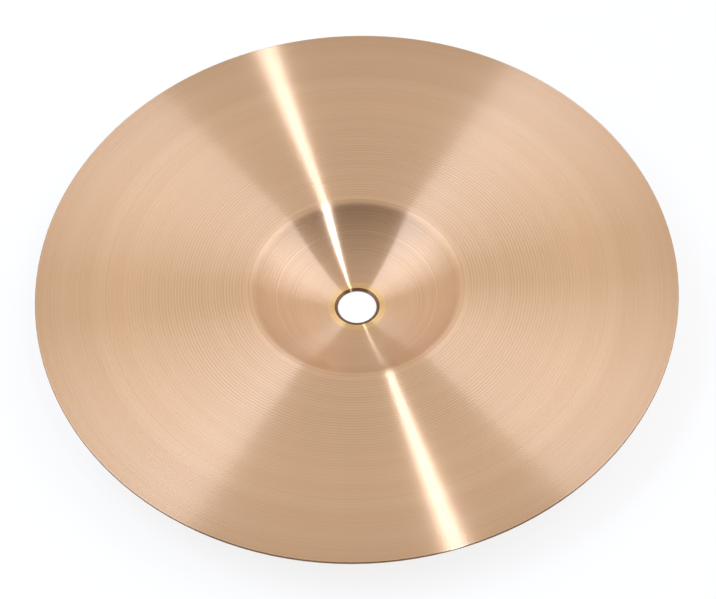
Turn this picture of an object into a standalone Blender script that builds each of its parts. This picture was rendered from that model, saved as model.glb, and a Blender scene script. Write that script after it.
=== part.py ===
# Accent cymbal: one disc of sheet bronze, pressed to a shallow bow with a domed bell, and turned.
# Metres, +Z up. It lies as photographed, hollow side up, and stands on the flat land round its hole.
# The origin is on the axis of the hole, at the level of the surface that the land stands on.
import math

import bmesh
import bpy

MM = 0.001

# Driving sizes
RIM_DIAMETER = 203.2 * MM
THICKNESS = 0.9 * MM
RIM_EDGE_RADIUS = 0.25 * MM
BOW_RISE = 5.2 * MM
BELL_DIAMETER = 67.0 * MM
BELL_RISE = 11.8 * MM
BELL_CREASE_RADIUS = 4.7 * MM
LAND_WIDTH = 1.9 * MM
HOLE_DIAMETER = 12.5 * MM
INSIDE_CHAMFER_WIDTH = 1.05 * MM
INSIDE_CHAMFER_DEPTH = 0.35 * MM
OUTSIDE_CHAMFER_WIDTH = 0.4 * MM
OUTSIDE_CHAMFER_DEPTH = 0.3 * MM

# Facets of the turned surface
STEPS_ROUND = 96
STEPS_BELL = 8
STEPS_CREASE = 4
STEPS_BOW = 5
STEPS_RIM_EDGE = 2
SHARP_ABOVE = math.radians(35)

# The bronze as it looks in the photograph
BRONZE_COLOUR = (0.72, 0.48, 0.3, 1.0)
BRONZE_ROUGHNESS = 0.3


def clear_scene():
    for thing in list(bpy.data.objects):
        bpy.data.objects.remove(thing, do_unlink=True)


def dish(inner, outer, low, rise):
    """Centre height and radius of the sphere on the axis that climbs so far between two radii."""
    above = ((outer**2 - inner**2) / rise + rise) / 2
    return low + above, math.hypot(above, inner)


def arc(centre_r, centre_z, radius, start, end, steps):
    """Points (r, z) on a circle, turning from one angle to another, counted from +r towards +z."""
    points = []
    for step in range(steps + 1):
        angle = start + (end - start) * step / steps
        points.append((centre_r + radius * math.cos(angle), centre_z + radius * math.sin(angle)))
    return points


def section():
    """The outline (r, z) of the metal on one side of the axis, from the hole out and back."""
    down = -math.pi / 2
    up = math.pi / 2
    hole = HOLE_DIAMETER / 2
    rim = RIM_DIAMETER / 2
    crease = BELL_DIAMETER / 2
    land_start = hole + INSIDE_CHAMFER_WIDTH
    land_end = land_start + LAND_WIDTH
    bell_z, bell = dish(land_end, crease, THICKNESS, BELL_RISE)
    bow_z, bow = dish(crease, rim, THICKNESS + BELL_RISE, BOW_RISE)

    # The crease is rounded by a circle under the metal's upper side that touches bell and bow
    to_bell = bell + BELL_CREASE_RADIUS
    to_bow = bow + BELL_CREASE_RADIUS
    crease_z = (to_bell**2 - to_bow**2 - bell_z**2 + bow_z**2) / (2 * (bow_z - bell_z))
    crease_r = math.sqrt(to_bell**2 - (crease_z - bell_z) ** 2)
    bell_slope = math.asin(crease_r / to_bell)
    bow_slope = math.asin(crease_r / to_bow)

    # Upper side, from the land to the rim
    land_slope = math.asin(land_end / bell)
    crown = arc(0, bell_z, bell, down + land_slope, down + bell_slope, STEPS_BELL)
    bend = arc(
        crease_r, crease_z, BELL_CREASE_RADIUS, up + bell_slope, up + bow_slope, STEPS_CREASE
    )
    rim_slope = math.asin((rim - RIM_EDGE_RADIUS) / (bow + RIM_EDGE_RADIUS))
    sweep = arc(0, bow_z, bow, down + bow_slope, down + rim_slope, STEPS_BOW)
    upper = [(land_start, THICKNESS)] + crown[:-1] + bend[:-1] + sweep[:-1]

    # Rim, turned upright with both corners rounded
    corner_r = rim - RIM_EDGE_RADIUS
    upper_z = bow_z - (bow + RIM_EDGE_RADIUS) * math.cos(rim_slope)
    under_rim_slope = math.asin(corner_r / (bow + THICKNESS - RIM_EDGE_RADIUS))
    under_z = bow_z - (bow + THICKNESS - RIM_EDGE_RADIUS) * math.cos(under_rim_slope)
    edge = arc(corner_r, upper_z, RIM_EDGE_RADIUS, up + rim_slope, 0, STEPS_RIM_EDGE)
    edge += arc(corner_r, under_z, RIM_EDGE_RADIUS, 0, down + under_rim_slope, STEPS_RIM_EDGE)

    # Underside, one thickness below the upper side, from the rim back to the land
    under_land = math.sqrt((bell + THICKNESS) ** 2 - bell_z**2)
    under_slope = math.asin(under_land / (bell + THICKNESS))
    under_sweep = arc(
        0, bow_z, bow + THICKNESS, down + under_rim_slope, down + bow_slope, STEPS_BOW
    )
    under_bend = arc(
        crease_r,
        crease_z,
        BELL_CREASE_RADIUS - THICKNESS,
        up + bow_slope,
        up + bell_slope,
        STEPS_CREASE,
    )
    under_crown = arc(
        0, bell_z, bell + THICKNESS, down + bell_slope, down + under_slope, STEPS_BELL
    )
    under = under_sweep[1:] + under_bend[1:] + under_crown[1:]

    # Hole, with its corner broken outside and widely chamfered inside
    bore = [
        (hole + OUTSIDE_CHAMFER_WIDTH, 0.0),
        (hole, OUTSIDE_CHAMFER_DEPTH),
        (hole, THICKNESS - INSIDE_CHAMFER_DEPTH),
    ]
    return upper + edge + under + bore


def turned(name, outline):
    """A closed solid made by spinning an outline about Z."""
    shape = bmesh.new()
    corners = [shape.verts.new((r, 0, z)) for r, z in outline]
    sides = [shape.edges.new((corners[i - 1], corners[i])) for i in range(len(corners))]
    bmesh.ops.spin(
        shape,
        geom=corners + sides,
        cent=(0, 0, 0),
        axis=(0, 0, 1),
        angle=2 * math.pi,
        steps=STEPS_ROUND,
        use_merge=True,
    )
    bmesh.ops.recalc_face_normals(shape, faces=shape.faces)
    mesh = bpy.data.meshes.new(name)
    shape.to_mesh(mesh)
    shape.free()
    mesh.shade_smooth()
    mesh.set_sharp_from_angle(angle=SHARP_ABOVE)
    thing = bpy.data.objects.new(name, mesh)
    bpy.context.scene.collection.objects.link(thing)
    return thing


def turned_bronze():
    material = bpy.data.materials.new("turned_bronze")
    material.use_nodes = True
    shader = material.node_tree.nodes["Principled BSDF"]
    shader.inputs["Base Color"].default_value = BRONZE_COLOUR
    shader.inputs["Metallic"].default_value = 1.0
    shader.inputs["Roughness"].default_value = BRONZE_ROUGHNESS
    return material


def build():
    clear_scene()
    cymbal = turned("cymbal", section())
    cymbal.data.materials.append(turned_bronze())


build()
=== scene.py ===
import math

import bmesh
import bpy
from mathutils import Euler, Matrix, Vector


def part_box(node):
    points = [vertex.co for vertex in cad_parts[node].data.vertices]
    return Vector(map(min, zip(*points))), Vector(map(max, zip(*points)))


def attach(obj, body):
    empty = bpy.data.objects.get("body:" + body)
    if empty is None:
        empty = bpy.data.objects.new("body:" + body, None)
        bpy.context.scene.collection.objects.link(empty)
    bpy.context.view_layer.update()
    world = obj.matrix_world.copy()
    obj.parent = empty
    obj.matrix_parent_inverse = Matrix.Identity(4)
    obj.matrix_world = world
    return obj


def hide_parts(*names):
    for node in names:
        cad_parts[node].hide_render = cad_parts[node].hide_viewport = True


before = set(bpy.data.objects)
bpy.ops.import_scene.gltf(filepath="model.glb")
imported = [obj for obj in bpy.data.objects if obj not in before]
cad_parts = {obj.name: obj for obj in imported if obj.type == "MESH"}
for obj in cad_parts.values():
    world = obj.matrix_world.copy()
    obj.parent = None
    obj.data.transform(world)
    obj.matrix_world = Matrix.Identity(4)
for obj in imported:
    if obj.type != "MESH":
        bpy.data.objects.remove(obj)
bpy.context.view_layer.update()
mm = 0.001


def toLinear(hexColour):  # "#d8b48c" to the linear colour that a shader socket takes
    parts = [int(hexColour[i:i + 2], 16) / 255 for i in (1, 3, 5)]
    linear = [p / 12.92 if p <= 0.04045 else ((p + 0.055) / 1.055) ** 2.4 for p in parts]
    return (*linear, 1.0)


def addNode(tree, kind, inputs=None, **settings):  # one node, its settings, and its values or links
    node = tree.nodes.new(kind)
    for name, value in settings.items():
        setattr(node, name, value)
    for key, value in (inputs or {}).items():
        if isinstance(value, bpy.types.NodeSocket):
            tree.links.new(value, node.inputs[key])
        else:
            node.inputs[key].default_value = value
    return node


def calc(tree, operation, first, second=0.0, third=0.0):  # the output of one Math node
    node = addNode(tree, "ShaderNodeMath", {0: first, 1: second, 2: third}, operation=operation)
    return node.outputs[0]


# The disc's section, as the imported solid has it
lowCorner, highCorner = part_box("cymbal")
cymbalSizes = {
    "rimDiameter": (highCorner.x - lowCorner.x) / mm,
    "thickness": 0.9,
    "rimEdgeRadius": 0.25,
    "bowRise": 5.2,
    "bellDiameter": 67.0,
    "bellRise": 11.8,
    "creaseRadius": 4.7,
    "landWidth": 1.9,
    "holeDiameter": 12.5,
    "insideChamfer": (1.05, 0.35),  # width, depth
    "outsideChamfer": (0.4, 0.3),
    "insidePitch": 0.98,  # from one turned groove to the next
    "outsidePitch": 1.2,
    "grooveDepth": 0.06,
    "bellCut": 0.45,  # share of the groove depth
    "rimCut": 0.2,
    "deepUpTo": (66, 4),  # radius where the deep grooves end, and how gently
    "easeIn": 6,  # points over which the tool eases in and out
    "unevenness": 0.37,  # noise per groove
    "sharpAbove": 14,
    "pointsPerGroove": 4,
    "creaseSteps": (12, 8),  # upper side, underside
    "cornerSteps": 6,
    "stepsRound": 136,
}


def arcPoints(centre, radius, start, end, steps):  # (r, z) from one angle to another, +r towards +z
    angles = [start + (end - start) * i / steps for i in range(steps + 1)]
    return [(centre[0] + radius * math.cos(a), centre[1] + radius * math.sin(a)) for a in angles]


def dishBall(inner, outer, low, rise):  # height of centre and radius of a sphere that climbs so far
    above = ((outer**2 - inner**2) / rise + rise) / 2
    return low + above, math.hypot(above, inner)


def discSection(sizes):  # closed outline of (r, z, grooves counted so far, how deeply it is cut)
    down, up = -math.pi / 2, math.pi / 2
    wall = sizes["thickness"]
    hole, rim, crease = (sizes[k] / 2 for k in ("holeDiameter", "rimDiameter", "bellDiameter"))
    edge = sizes["rimEdgeRadius"]
    landStart = hole + sizes["insideChamfer"][0]
    landEnd = landStart + sizes["landWidth"]
    bellZ, bell = dishBall(landEnd, crease, wall, sizes["bellRise"])
    bowZ, bow = dishBall(crease, rim, wall + sizes["bellRise"], sizes["bowRise"])

    # The crease's circle lies under the upper side and touches bell and bow
    bend = sizes["creaseRadius"]
    bendZ = ((bell + bend)**2 - (bow + bend)**2 - bellZ**2 + bowZ**2) / (2 * (bowZ - bellZ))
    bendR = math.sqrt((bell + bend)**2 - (bendZ - bellZ)**2)
    bellSlope = math.asin(bendR / (bell + bend))
    bowSlope = math.asin(bendR / (bow + bend))
    landSlope = math.asin(landEnd / bell)
    rimSlope = math.asin((rim - edge) / (bow + edge))
    underRimSlope = math.asin((rim - edge) / (bow + wall - edge))
    underLandSlope = math.acos(bellZ / (bell + wall))

    ease = sizes["easeIn"]
    upperSteps, underSteps = sizes["creaseSteps"]
    cornerSteps = sizes["cornerSteps"]
    outline = []

    def cutAt(r):  # deepest just outside the bell
        if r < crease:
            return sizes["bellCut"]
        deepEnd, softness = sizes["deepUpTo"]
        shallow = sizes["rimCut"]
        return shallow + (1 - shallow) / (1 + math.exp((r - deepEnd) / softness))

    def plain(points):
        outline.extend((r, z, 0.0, 0.0) for r, z in points)

    def turned(centre, radius, start, end, pitch):
        grooves = round(radius * abs(end - start) / pitch)
        steps = grooves * sizes["pointsPerGroove"]
        for i, (r, z) in enumerate(arcPoints(centre, radius, start, end, steps)):
            fade = min(i, steps - i, ease) / ease * cutAt(r)
            outline.append((r, z, i / sizes["pointsPerGroove"], fade))

    inner, outer = sizes["insidePitch"], sizes["outsidePitch"]
    plain([(landStart, wall)])
    turned((0, bellZ), bell, down + landSlope, down + bellSlope, inner)
    plain(arcPoints((bendR, bendZ), bend, up + bellSlope, up + bowSlope, upperSteps)[1:-1])
    turned((0, bowZ), bow, down + bowSlope, down + rimSlope, inner)
    cornerZ = bowZ - (bow + edge) * math.cos(rimSlope)
    plain(arcPoints((rim - edge, cornerZ), edge, up + rimSlope, 0, cornerSteps)[1:])
    cornerZ = bowZ - (bow + wall - edge) * math.cos(underRimSlope)
    plain(arcPoints((rim - edge, cornerZ), edge, 0, down + underRimSlope, cornerSteps)[:-1])
    turned((0, bowZ), bow + wall, down + underRimSlope, down + bowSlope, outer)
    plain(arcPoints((bendR, bendZ), bend - wall, up + bowSlope, up + bellSlope, underSteps)[1:-1])
    turned((0, bellZ), bell + wall, down + bellSlope, down + underLandSlope, outer)
    width, depth = sizes["outsideChamfer"]
    plain([(hole + width, 0.0), (hole, depth), (hole, wall - sizes["insideChamfer"][1])])
    return outline


def sectionObject(name, outline):  # the outline as points, with its grooves as attributes
    mesh = bpy.data.meshes.new(name)
    mesh.from_pydata([(r * mm, 0, z * mm) for r, z, _, _ in outline], [], [])
    for attribute, place in (("groove", 2), ("cut", 3)):
        values = mesh.attributes.new(attribute, "FLOAT", "POINT").data
        values.foreach_set("value", [point[place] for point in outline])
    thing = bpy.data.objects.new(name, mesh)
    bpy.context.scene.collection.objects.link(thing)
    return thing


def latheTree(sizes):  # spins a section round Z and cuts its grooves into the metal
    tree = bpy.data.node_groups.new("lathe", "GeometryNodeTree")
    face = tree.interface
    face.new_socket("Geometry", in_out="INPUT", socket_type="NodeSocketGeometry")
    face.new_socket("Steps Round", in_out="INPUT", socket_type="NodeSocketInt")
    face.new_socket("Groove Depth", in_out="INPUT", socket_type="NodeSocketFloat")
    face.new_socket("Finish", in_out="INPUT", socket_type="NodeSocketMaterial")
    face.new_socket("Geometry", in_out="OUTPUT", socket_type="NodeSocketGeometry")
    given = addNode(tree, "NodeGroupInput").outputs
    section = given["Geometry"]

    # A grid with a column for each point of the section and a row for each step round
    size = addNode(tree, "GeometryNodeAttributeDomainSize", {0: section}, component="MESH")
    points = size.outputs["Point Count"]
    columns = calc(tree, "ADD", points, 1)
    rows = calc(tree, "ADD", given["Steps Round"], 1)
    sheet = addNode(tree, "GeometryNodeMeshGrid", {
        "Size X": 1.0, "Size Y": 1.0, "Vertices X": columns, "Vertices Y": rows})
    position = addNode(tree, "GeometryNodeInputPosition").outputs[0]
    place = addNode(tree, "ShaderNodeSeparateXYZ", {0: position})
    column = calc(tree, "MULTIPLY", calc(tree, "ADD", place.outputs[0], 0.5), points)
    column = calc(tree, "MODULO", calc(tree, "ROUND", column), points)
    turn = calc(tree, "MULTIPLY", calc(tree, "ADD", place.outputs[1], 0.5), 2 * math.pi)

    def sampled(dataType, value):
        return addNode(tree, "GeometryNodeSampleIndex", {
            "Geometry": section, "Value": value, "Index": column}, data_type=dataType).outputs[0]

    def stored(geometry, name, value, dataType="FLOAT", domain="POINT"):
        return addNode(tree, "GeometryNodeStoreNamedAttribute", {
            "Geometry": geometry, "Name": name, "Value": value},
            data_type=dataType, domain=domain).outputs[0]

    def named(name):
        return addNode(tree, "GeometryNodeInputNamedAttribute", {
            "Name": name}, data_type="FLOAT").outputs[0]

    disc = stored(sheet.outputs["Mesh"], "turned", sheet.outputs["UV Map"], "FLOAT2", "CORNER")
    disc = stored(disc, "groove", sampled("FLOAT", named("groove")))
    disc = stored(disc, "cut", sampled("FLOAT", named("cut")))
    spot = addNode(tree, "ShaderNodeSeparateXYZ", {0: sampled("FLOAT_VECTOR", position)})
    onDisc = addNode(tree, "ShaderNodeCombineXYZ", {
        0: calc(tree, "MULTIPLY", spot.outputs[0], calc(tree, "COSINE", turn)),
        1: calc(tree, "MULTIPLY", spot.outputs[0], calc(tree, "SINE", turn)),
        2: spot.outputs[2]})
    disc = addNode(tree, "GeometryNodeSetPosition", {
        "Geometry": disc, "Position": onDisc.outputs[0]}).outputs[0]
    disc = addNode(tree, "GeometryNodeMergeByDistance", {"Geometry": disc, "Distance": 1e-6}).outputs[0]

    # Grooves of uneven depth, cut inwards
    unevenness = addNode(tree, "ShaderNodeTexNoise", {
        "W": named("groove"), "Scale": sizes["unevenness"], "Detail": 2.0}, noise_dimensions="1D").outputs[0]
    wave = calc(tree, "COSINE", calc(tree, "MULTIPLY", named("groove"), 2 * math.pi))
    depth = calc(tree, "MULTIPLY", calc(tree, "MULTIPLY_ADD", wave, -0.5, 0.5), unevenness)
    depth = calc(tree, "MULTIPLY", calc(tree, "MULTIPLY", depth, named("cut")), given["Groove Depth"])
    outward = addNode(tree, "GeometryNodeInputNormal").outputs[0]
    inward = addNode(tree, "ShaderNodeVectorMath", {
        0: outward, "Scale": calc(tree, "MULTIPLY", depth, -1.0)}, operation="SCALE")
    disc = addNode(tree, "GeometryNodeSetPosition", {
        "Geometry": disc, "Offset": inward.outputs[0]}).outputs[0]
    disc = addNode(tree, "GeometryNodeRealizeInstances", {0: disc}).outputs[0]
    disc = addNode(tree, "GeometryNodeSetMaterial", {
        "Geometry": disc, "Material": given["Finish"]}).outputs[0]
    addNode(tree, "NodeGroupOutput", {0: disc})
    return tree


def turnedDisc(name, sizes, finish):
    blank = sectionObject(name + "_section", discSection(sizes))
    lathe = blank.modifiers.new("lathe", "NODES")
    lathe.node_group = latheTree(sizes)
    chosen = {
        "Steps Round": sizes["stepsRound"], "Groove Depth": sizes["grooveDepth"] * mm, "Finish": finish}
    for socket in lathe.node_group.interface.items_tree:
        if socket.in_out == "INPUT" and socket.name in chosen:
            lathe[socket.identifier] = chosen[socket.name]
    bpy.context.view_layer.update()
    view = blank.evaluated_get(bpy.context.evaluated_depsgraph_get())
    mesh = bpy.data.meshes.new_from_object(view)
    bpy.data.objects.remove(blank, do_unlink=True)

    shape = bmesh.new()
    shape.from_mesh(mesh)
    bmesh.ops.recalc_face_normals(shape, faces=shape.faces)
    shape.to_mesh(mesh)
    shape.free()
    mesh.shade_smooth()
    mesh.set_sharp_from_angle(angle=math.radians(sizes["sharpAbove"]))
    disc = bpy.data.objects.new(name, mesh)
    bpy.context.scene.collection.objects.link(disc)
    return disc


# Tin bronze, turned with a pointed tool: fine rings throw the light far to either side of them and
# hardly along them, so each lamp shows as a straight beam from rim to hole. Roughness is that of one
# flank of a ring.
bronzeLook = {
    "colour": "#e0c1a2",
    "shade": "#d5b091",
    "landColour": "#e2bf8c",
    # bore and chamfer darker: partly bare drilled metal, partly painted shade of their steep walls
    "drilledAndShadedColour": "#7d5f48",
    # painted shade on the rim's rounded edge, standing in for the dark room it reflects
    "edgeShadeColour": "#8a6a52",
    "shadedEdgeShare": 0.6,  # of the rim's edge radius
    "lipWidth": 0.02,  # bright line between land and chamfer
    "roughness": 0.19,
    "anisotropy": 1.0,
    "ringWidth": 0.6,
    "ringShare": 0.6,  # of the unevenness in tone
    "bandWidth": 6.0,
    "bandShare": 0.4,
    "flanks": {  # slope: share of the surface
        0.0: 1.0, 0.15: 0.8, 0.3: 0.52, 0.46: 0.34, 0.65: 0.24, 0.95: 0.14, 1.5: 0.08},
    # painted shade at the bottom of each groove
    "grooveBottomShade": 0.09,
    "toolMarksAndPaintedLight": {  # radius: (half width, how much lighter), some of them painted highlight and painted shade
        # 25.8 is a scratch ring and 86.0 to 88.3 are three fine rings near the rim; 13.0, 21.4 and 98.9 are
        # faint darker and lighter rings
        # 33.5 is a painted highlight and 34.4 painted shade on the rounded crease between bell and bow
        13.0: (0.25, -0.05), 21.4: (0.3, -0.03), 25.8: (0.2, 0.1), 33.5: (0.35, 0.05), 34.4: (0.3, -0.1),
        86.0: (0.15, 0.05), 87.2: (0.15, 0.05), 88.3: (0.15, 0.04), 98.9: (0.5, 0.03),
        # 101.6 is painted shade that darkens the bow towards the rim, as its slope turns from the light
        101.6: (28.0, -0.11)},
}


def turnedBronze(look, sizes):
    material = bpy.data.materials.new("turned_bronze")
    material.use_nodes = True
    tree = material.node_tree
    tree.nodes.remove(tree.nodes["Principled BSDF"])
    place = addNode(tree, "ShaderNodeTexCoord").outputs["Object"]
    flat = addNode(tree, "ShaderNodeVectorMath", {0: place, 1: (1, 1, 0)}, operation="MULTIPLY").outputs[0]
    radius = addNode(tree, "ShaderNodeVectorMath", {0: flat}, operation="LENGTH").outputs["Value"]

    def rings(width, detail):
        return addNode(tree, "ShaderNodeTexNoise", {
            "W": radius, "Scale": 1 / (width * mm), "Detail": detail}, noise_dimensions="1D").outputs[0]

    tone = calc(tree, "ADD", calc(tree, "MULTIPLY", rings(look["ringWidth"], 2.0), look["ringShare"]),
                 calc(tree, "MULTIPLY", rings(look["bandWidth"], 1.0), look["bandShare"]))
    base = addNode(tree, "ShaderNodeMix", {
        0: tone, 6: toLinear(look["shade"]), 7: toLinear(look["colour"])}, data_type="RGBA").outputs[2]

    # Painted shade: the grooves are darker at the bottom, where shade falls into them
    groove = addNode(tree, "ShaderNodeAttribute", attribute_name="groove").outputs["Fac"]
    cut = addNode(tree, "ShaderNodeAttribute", attribute_name="cut").outputs["Fac"]
    wave = calc(tree, "MULTIPLY_ADD", calc(
        tree, "COSINE", calc(tree, "MULTIPLY", groove, 2 * math.pi)), 0.5, -0.5)
    marksAndPaintedLight = calc(tree, "MULTIPLY_ADD", calc(tree, "MULTIPLY", wave, cut), look["grooveBottomShade"], 1.0)
    # Rings of marks, painted highlight and painted shade, each fading out over its half width
    for at, (halfWidth, lighter) in look["toolMarksAndPaintedLight"].items():
        beside = calc(tree, "ABSOLUTE", calc(tree, "SUBTRACT", radius, at * mm))
        within = addNode(tree, "ShaderNodeMapRange", {
            0: beside, 1: 0.0, 2: halfWidth * mm, 3: lighter, 4: 0.0})
        marksAndPaintedLight = calc(tree, "ADD", within.outputs[0], marksAndPaintedLight)
    base = addNode(tree, "ShaderNodeVectorMath", {0: base, "Scale": marksAndPaintedLight}, operation="SCALE").outputs[0]

    # The land has a colour of its own; the drilled bore with its chamfer is darker, partly bare metal and
    # partly painted shade; the rim's edge gets painted shade
    chamferEnd = sizes["holeDiameter"] / 2 + sizes["insideChamfer"][0]
    # Painted shade on the outer part of the rim's edge
    shadedEdgeStart = sizes["rimDiameter"] / 2 - sizes["rimEdgeRadius"] * look["shadedEdgeShare"]
    for side, limit, colour in (
            ("LESS_THAN", chamferEnd + sizes["landWidth"], "landColour"),
            ("LESS_THAN", chamferEnd - look["lipWidth"], "drilledAndShadedColour"),
            ("GREATER_THAN", shadedEdgeStart, "edgeShadeColour")):
        base = addNode(tree, "ShaderNodeMix", {
            0: calc(tree, side, radius, limit * mm), 6: base, 7: toLinear(look[colour])},
            data_type="RGBA").outputs[2]
    across = addNode(tree, "ShaderNodeTangent", direction_type="UV_MAP", uv_map="turned").outputs[0]
    upright = addNode(tree, "ShaderNodeNewGeometry").outputs["Normal"]

    # The flanks of the rings too fine to model, each with its slope and its share of the surface
    metal, total = None, 0.0
    flanks = look["flanks"] | {-slope: share for slope, share in look["flanks"].items()}
    for slope, share in flanks.items():
        leaning = addNode(tree, "ShaderNodeVectorMath", {
            0: across, 1: (slope, slope, slope), 2: upright}, operation="MULTIPLY_ADD").outputs[0]
        leaning = addNode(tree, "ShaderNodeVectorMath", {0: leaning}, operation="NORMALIZE").outputs[0]
        flank = addNode(tree, "ShaderNodeBsdfPrincipled", {
            "Base Color": base, "Metallic": 1.0, "Roughness": look["roughness"],
            "Anisotropic": look["anisotropy"], "Tangent": across, "Normal": leaning}).outputs[0]
        total += share
        metal = flank if metal is None else addNode(tree, "ShaderNodeMixShader", {
            0: share / total, 1: metal, 2: flank}).outputs[0]
    tree.links.new(metal, tree.nodes["Material Output"].inputs["Surface"])
    return material


disc = turnedDisc("cymbal_turned", cymbalSizes, turnedBronze(bronzeLook, cymbalSizes))
print("disc:", len(disc.data.vertices), "vertices,", len(disc.data.polygons), "faces")
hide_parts("cymbal")
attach(disc, "root")


# Pale floor that runs on past the camera's view
floorLook = {"size": 8000.0, "colour": "#f6f4f0", "glow": 0.86, "glowStrength": 0.96}


def paleFloor(look):
    mesh = bpy.data.meshes.new("floor")
    half = look["size"] / 2 * mm
    corners = [(-half, -half, 0), (half, -half, 0), (half, half, 0), (-half, half, 0)]
    mesh.from_pydata(corners, [], [(0, 1, 2, 3)])
    material = bpy.data.materials.new("pale_floor")
    material.use_nodes = True
    tree = material.node_tree
    out = tree.nodes["Material Output"]
    tree.nodes.remove(tree.nodes["Principled BSDF"])
    matt = addNode(tree, "ShaderNodeBsdfDiffuse", {"Color": toLinear(look["colour"])})
    glow = addNode(tree, "ShaderNodeEmission", {"Color": (1, 1, 1, 1), "Strength": look["glowStrength"]})
    rays = addNode(tree, "ShaderNodeLightPath").outputs
    seen = calc(tree, "MAXIMUM", rays["Is Camera Ray"], calc(
        tree, "MAXIMUM", rays["Is Glossy Ray"], rays["Is Transmission Ray"]))
    share = calc(tree, "MULTIPLY", seen, look["glow"])
    mixed = addNode(tree, "ShaderNodeMixShader", {0: share, 1: matt.outputs[0], 2: glow.outputs[0]})
    tree.links.new(mixed.outputs[0], out.inputs["Surface"])
    mesh.materials.append(material)
    floor = bpy.data.objects.new("floor", mesh)
    bpy.context.scene.collection.objects.link(floor)


paleFloor(floorLook)

# Softboxes overhead left and right, brightest along the straight edge that ends each highlight, and a
# narrow strip light beside the camera
lights = {
    "softbox_left": {
        "edge": (-587, -265), "turn": 232, "size": (1100, 1000), "power": 6.5, "colour": "#cee0ff"},
    "key_left": {
        "edge": (-587, -265), "turn": 232, "size": (1100, 330), "power": 10.0, "colour": "#bdd5ff"},
    "softbox_right": {
        "edge": (667, -190), "turn": 135, "size": (1100, 1000), "power": 6.5, "colour": "#cee0ff"},
    "key_right": {
        "edge": (667, -190), "turn": 135, "size": (1100, 330), "power": 6.6, "colour": "#bdd5ff"},
    "strip_front": {
        "edge": (359, -523), "turn": -71.4, "size": (790, 66), "power": 4.0, "colour": "#dceaff"},
}
lightHeight = 1000


def addLight(name, look):  # a panel that shines down, placed by the middle of one long edge
    data = bpy.data.lights.new(name, "AREA")
    data.shape = "RECTANGLE"
    data.size, data.size_y = (s * mm for s in look["size"])
    data.energy = look["power"]
    data.color = toLinear(look["colour"])[:3]
    lamp = bpy.data.objects.new(name, data)
    turn = Matrix.Rotation(math.radians(look["turn"]), 3, "Z")
    middle = Vector((*look["edge"], lightHeight)) + turn @ Vector((0, -look["size"][1] / 2, 0))
    lamp.location = middle * mm
    lamp.rotation_euler = turn.to_euler()
    lamp.visible_camera = False
    bpy.context.scene.collection.objects.link(lamp)


for name, look in lights.items():
    addLight(name, look)

# The room: bright white walls behind the cymbal, dimmer on the camera's side
roomLook = {
    "back": "#f8f1e8",
    "front": "#39271f",
    "frontEnds": -0.75,  # how far a direction points along Y
    "backStarts": 0.15,
    "strength": 1.06,
}


def studioRoom(look):
    world = bpy.context.scene.world or bpy.data.worlds.new("room")
    bpy.context.scene.world = world
    world.use_nodes = True
    tree = world.node_tree
    background = tree.nodes["Background"]
    outwards = addNode(tree, "ShaderNodeTexCoord").outputs["Generated"]
    direction = addNode(tree, "ShaderNodeSeparateXYZ", {0: outwards})
    depth = addNode(tree, "ShaderNodeMapRange", {
        0: direction.outputs["Y"], 1: look["frontEnds"], 2: look["backStarts"]},
        interpolation_type="SMOOTHSTEP").outputs[0]
    wall = addNode(tree, "ShaderNodeMix", {
        0: depth, 6: toLinear(look["front"]), 7: toLinear(look["back"])}, data_type="RGBA").outputs[2]
    tree.links.new(wall, background.inputs["Color"])
    background.inputs["Strength"].default_value = look["strength"]


studioRoom(roomLook)

# The camera stands in front, above, and leans a little to the left
cameraSet = {
    "distance": 652.5,
    "elevation": 55.25,
    "roll": -2.46,
    "lens": 103.63,
    "aside": (0.69, -7.49),  # of the rim's centre, right and up
}


def addCamera(look):
    data = bpy.data.cameras.new("camera")
    data.lens = look["lens"]
    camera = bpy.data.objects.new("camera", data)
    tilt = math.radians(90 - look["elevation"])
    turn = Euler((tilt, 0, 0)).to_matrix() @ Matrix.Rotation(math.radians(look["roll"]), 3, "Z")
    rimCentre = Vector((0, 0, highCorner.z / mm))
    seen = Vector((look["aside"][0], look["aside"][1], look["distance"]))
    camera.location = (rimCentre + turn @ seen) * mm
    camera.rotation_euler = turn.to_euler()
    bpy.context.scene.collection.objects.link(camera)
    bpy.context.scene.camera = camera


addCamera(cameraSet)
bpy.context.scene.view_settings.view_transform = "Standard"
print("camera and lights are set")
